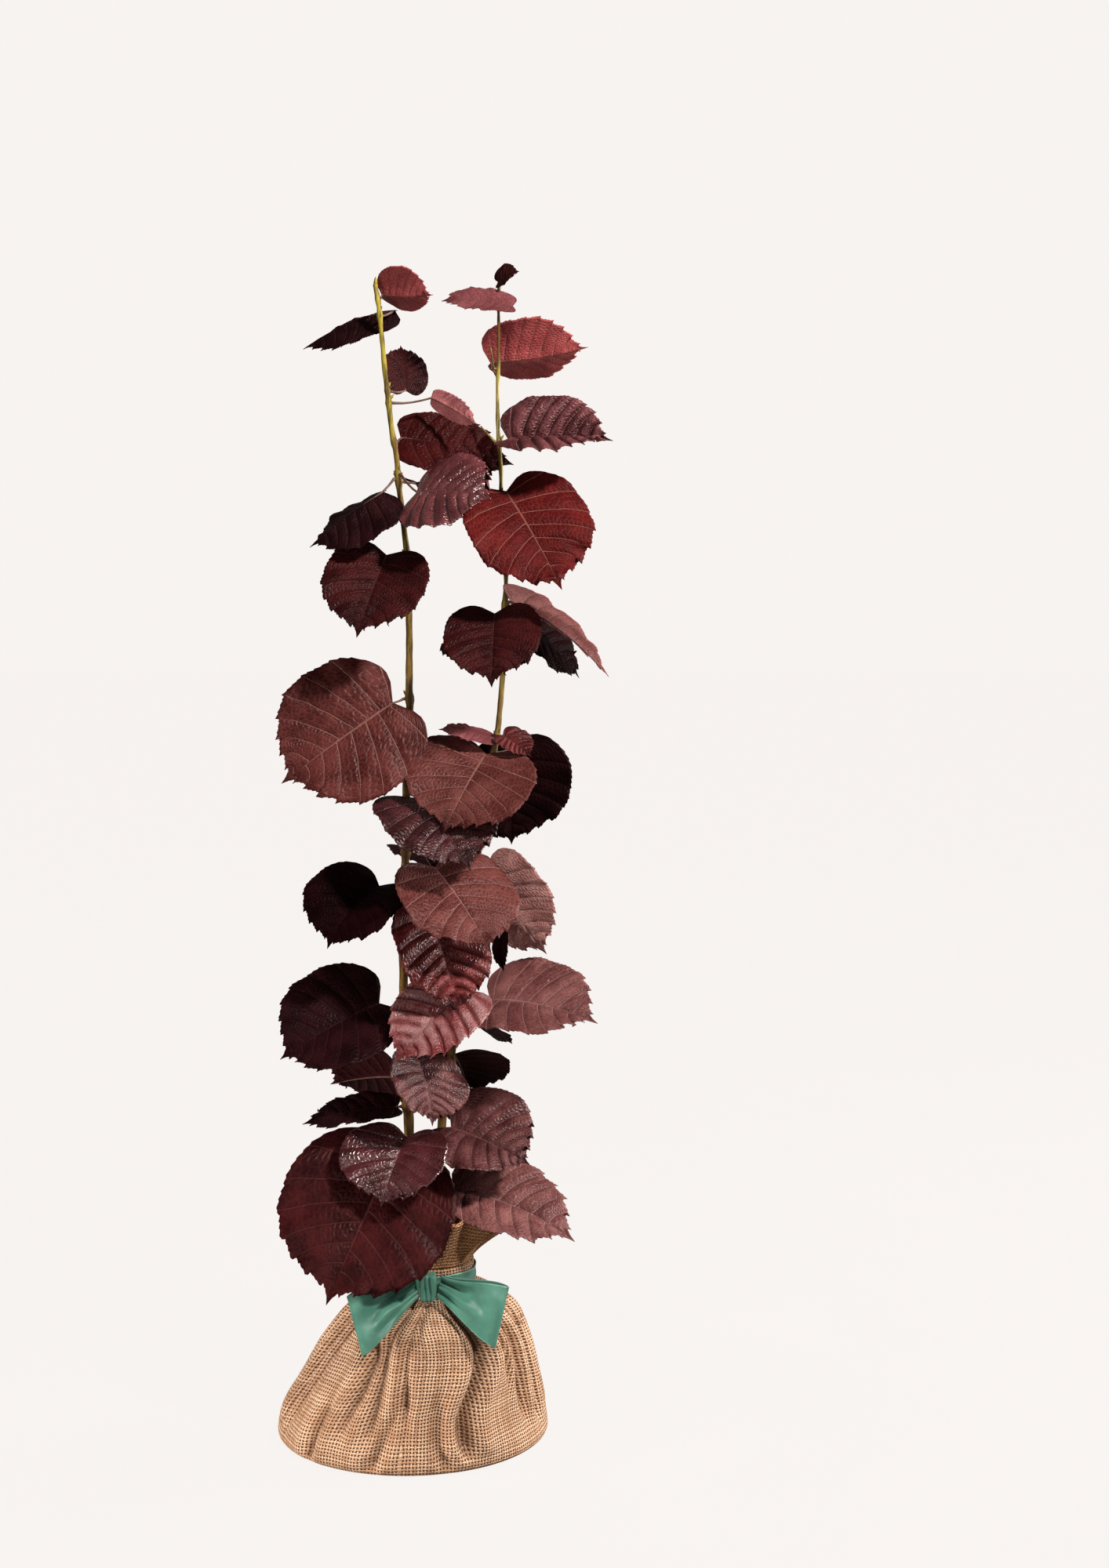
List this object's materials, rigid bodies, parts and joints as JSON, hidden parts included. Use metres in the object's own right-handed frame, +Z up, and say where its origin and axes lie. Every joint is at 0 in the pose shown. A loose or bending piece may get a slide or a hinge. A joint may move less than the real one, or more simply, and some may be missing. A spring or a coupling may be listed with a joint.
{
  "type": "sapling with root ball",
  "caption": "Young purple-leaved hazel: slender upright stems with broad wine-red leaves, standing on a root ball wrapped in hessian and tied with a green ribbon bow.",
  "frame": {"origin": "middle of the root ball's flat underside, on the ground", "axes": "+Z up along the stems; the plant's broad side faces -Y, and +X is to the right when looking along +Y"},
  "size_m": [0.2976, 0.2052, 1.0314],
  "materials": {
    "leaf": "satin leaf, dark wine above and dusky pink-brown below",
    "bark": "young bark, yellow-green above and olive-brown below",
    "root_ball": "coarse open-weave hessian over firm soil",
    "hessian": "coarse open-weave hessian",
    "ribbon": "soft satin ribbon"
  },
  "bodies": {
    "root": {"root_ball": "root_ball", "hessian_ruff": "hessian", "ribbon_band": "ribbon", "bow_knot": "ribbon", "bow_loop_left": "ribbon", "bow_loop_right": "ribbon", "stem_left": "bark", "stem_right": "bark", "bare_stalk": "bark", "side_bud": "bark", "leaf_left_01": "leaf", "leaf_left_02": "leaf", "leaf_left_03": "leaf", "leaf_left_04": "leaf", "leaf_left_05": "leaf", "leaf_left_06": "leaf", "leaf_left_07": "leaf", "leaf_left_08": "leaf", "leaf_left_09": "leaf", "leaf_left_10": "leaf", "leaf_left_11": "leaf", "leaf_left_12": "leaf", "leaf_left_13": "leaf", "leaf_left_14": "leaf", "leaf_left_15": "leaf", "leaf_left_16": "leaf", "leaf_left_17": "leaf", "leaf_left_18": "leaf", "leaf_left_19": "leaf", "leaf_right_01": "leaf", "leaf_right_02": "leaf", "leaf_right_03": "leaf", "leaf_right_04": "leaf", "leaf_right_05": "leaf", "leaf_right_06": "leaf", "leaf_right_07": "leaf", "leaf_right_08": "leaf", "leaf_right_09": "leaf", "leaf_right_10": "leaf", "leaf_right_11": "leaf", "leaf_right_12": "leaf", "leaf_right_13": "leaf", "leaf_right_14": "leaf", "leaf_right_15": "leaf", "leaf_right_16": "leaf", "leaf_right_17": "leaf", "leaf_right_18": "leaf", "leaf_right_19": "leaf", "leaf_right_20": "leaf", "leaf_back_01": "leaf", "leaf_back_02": "leaf", "leaf_back_03": "leaf", "leaf_back_04": "leaf", "leaf_back_05": "leaf", "leaf_back_06": "leaf", "leaf_back_07": "leaf", "leaf_back_08": "leaf", "leaf_back_09": "leaf", "leaf_back_10": "leaf"}
  },
  "joints": []
}
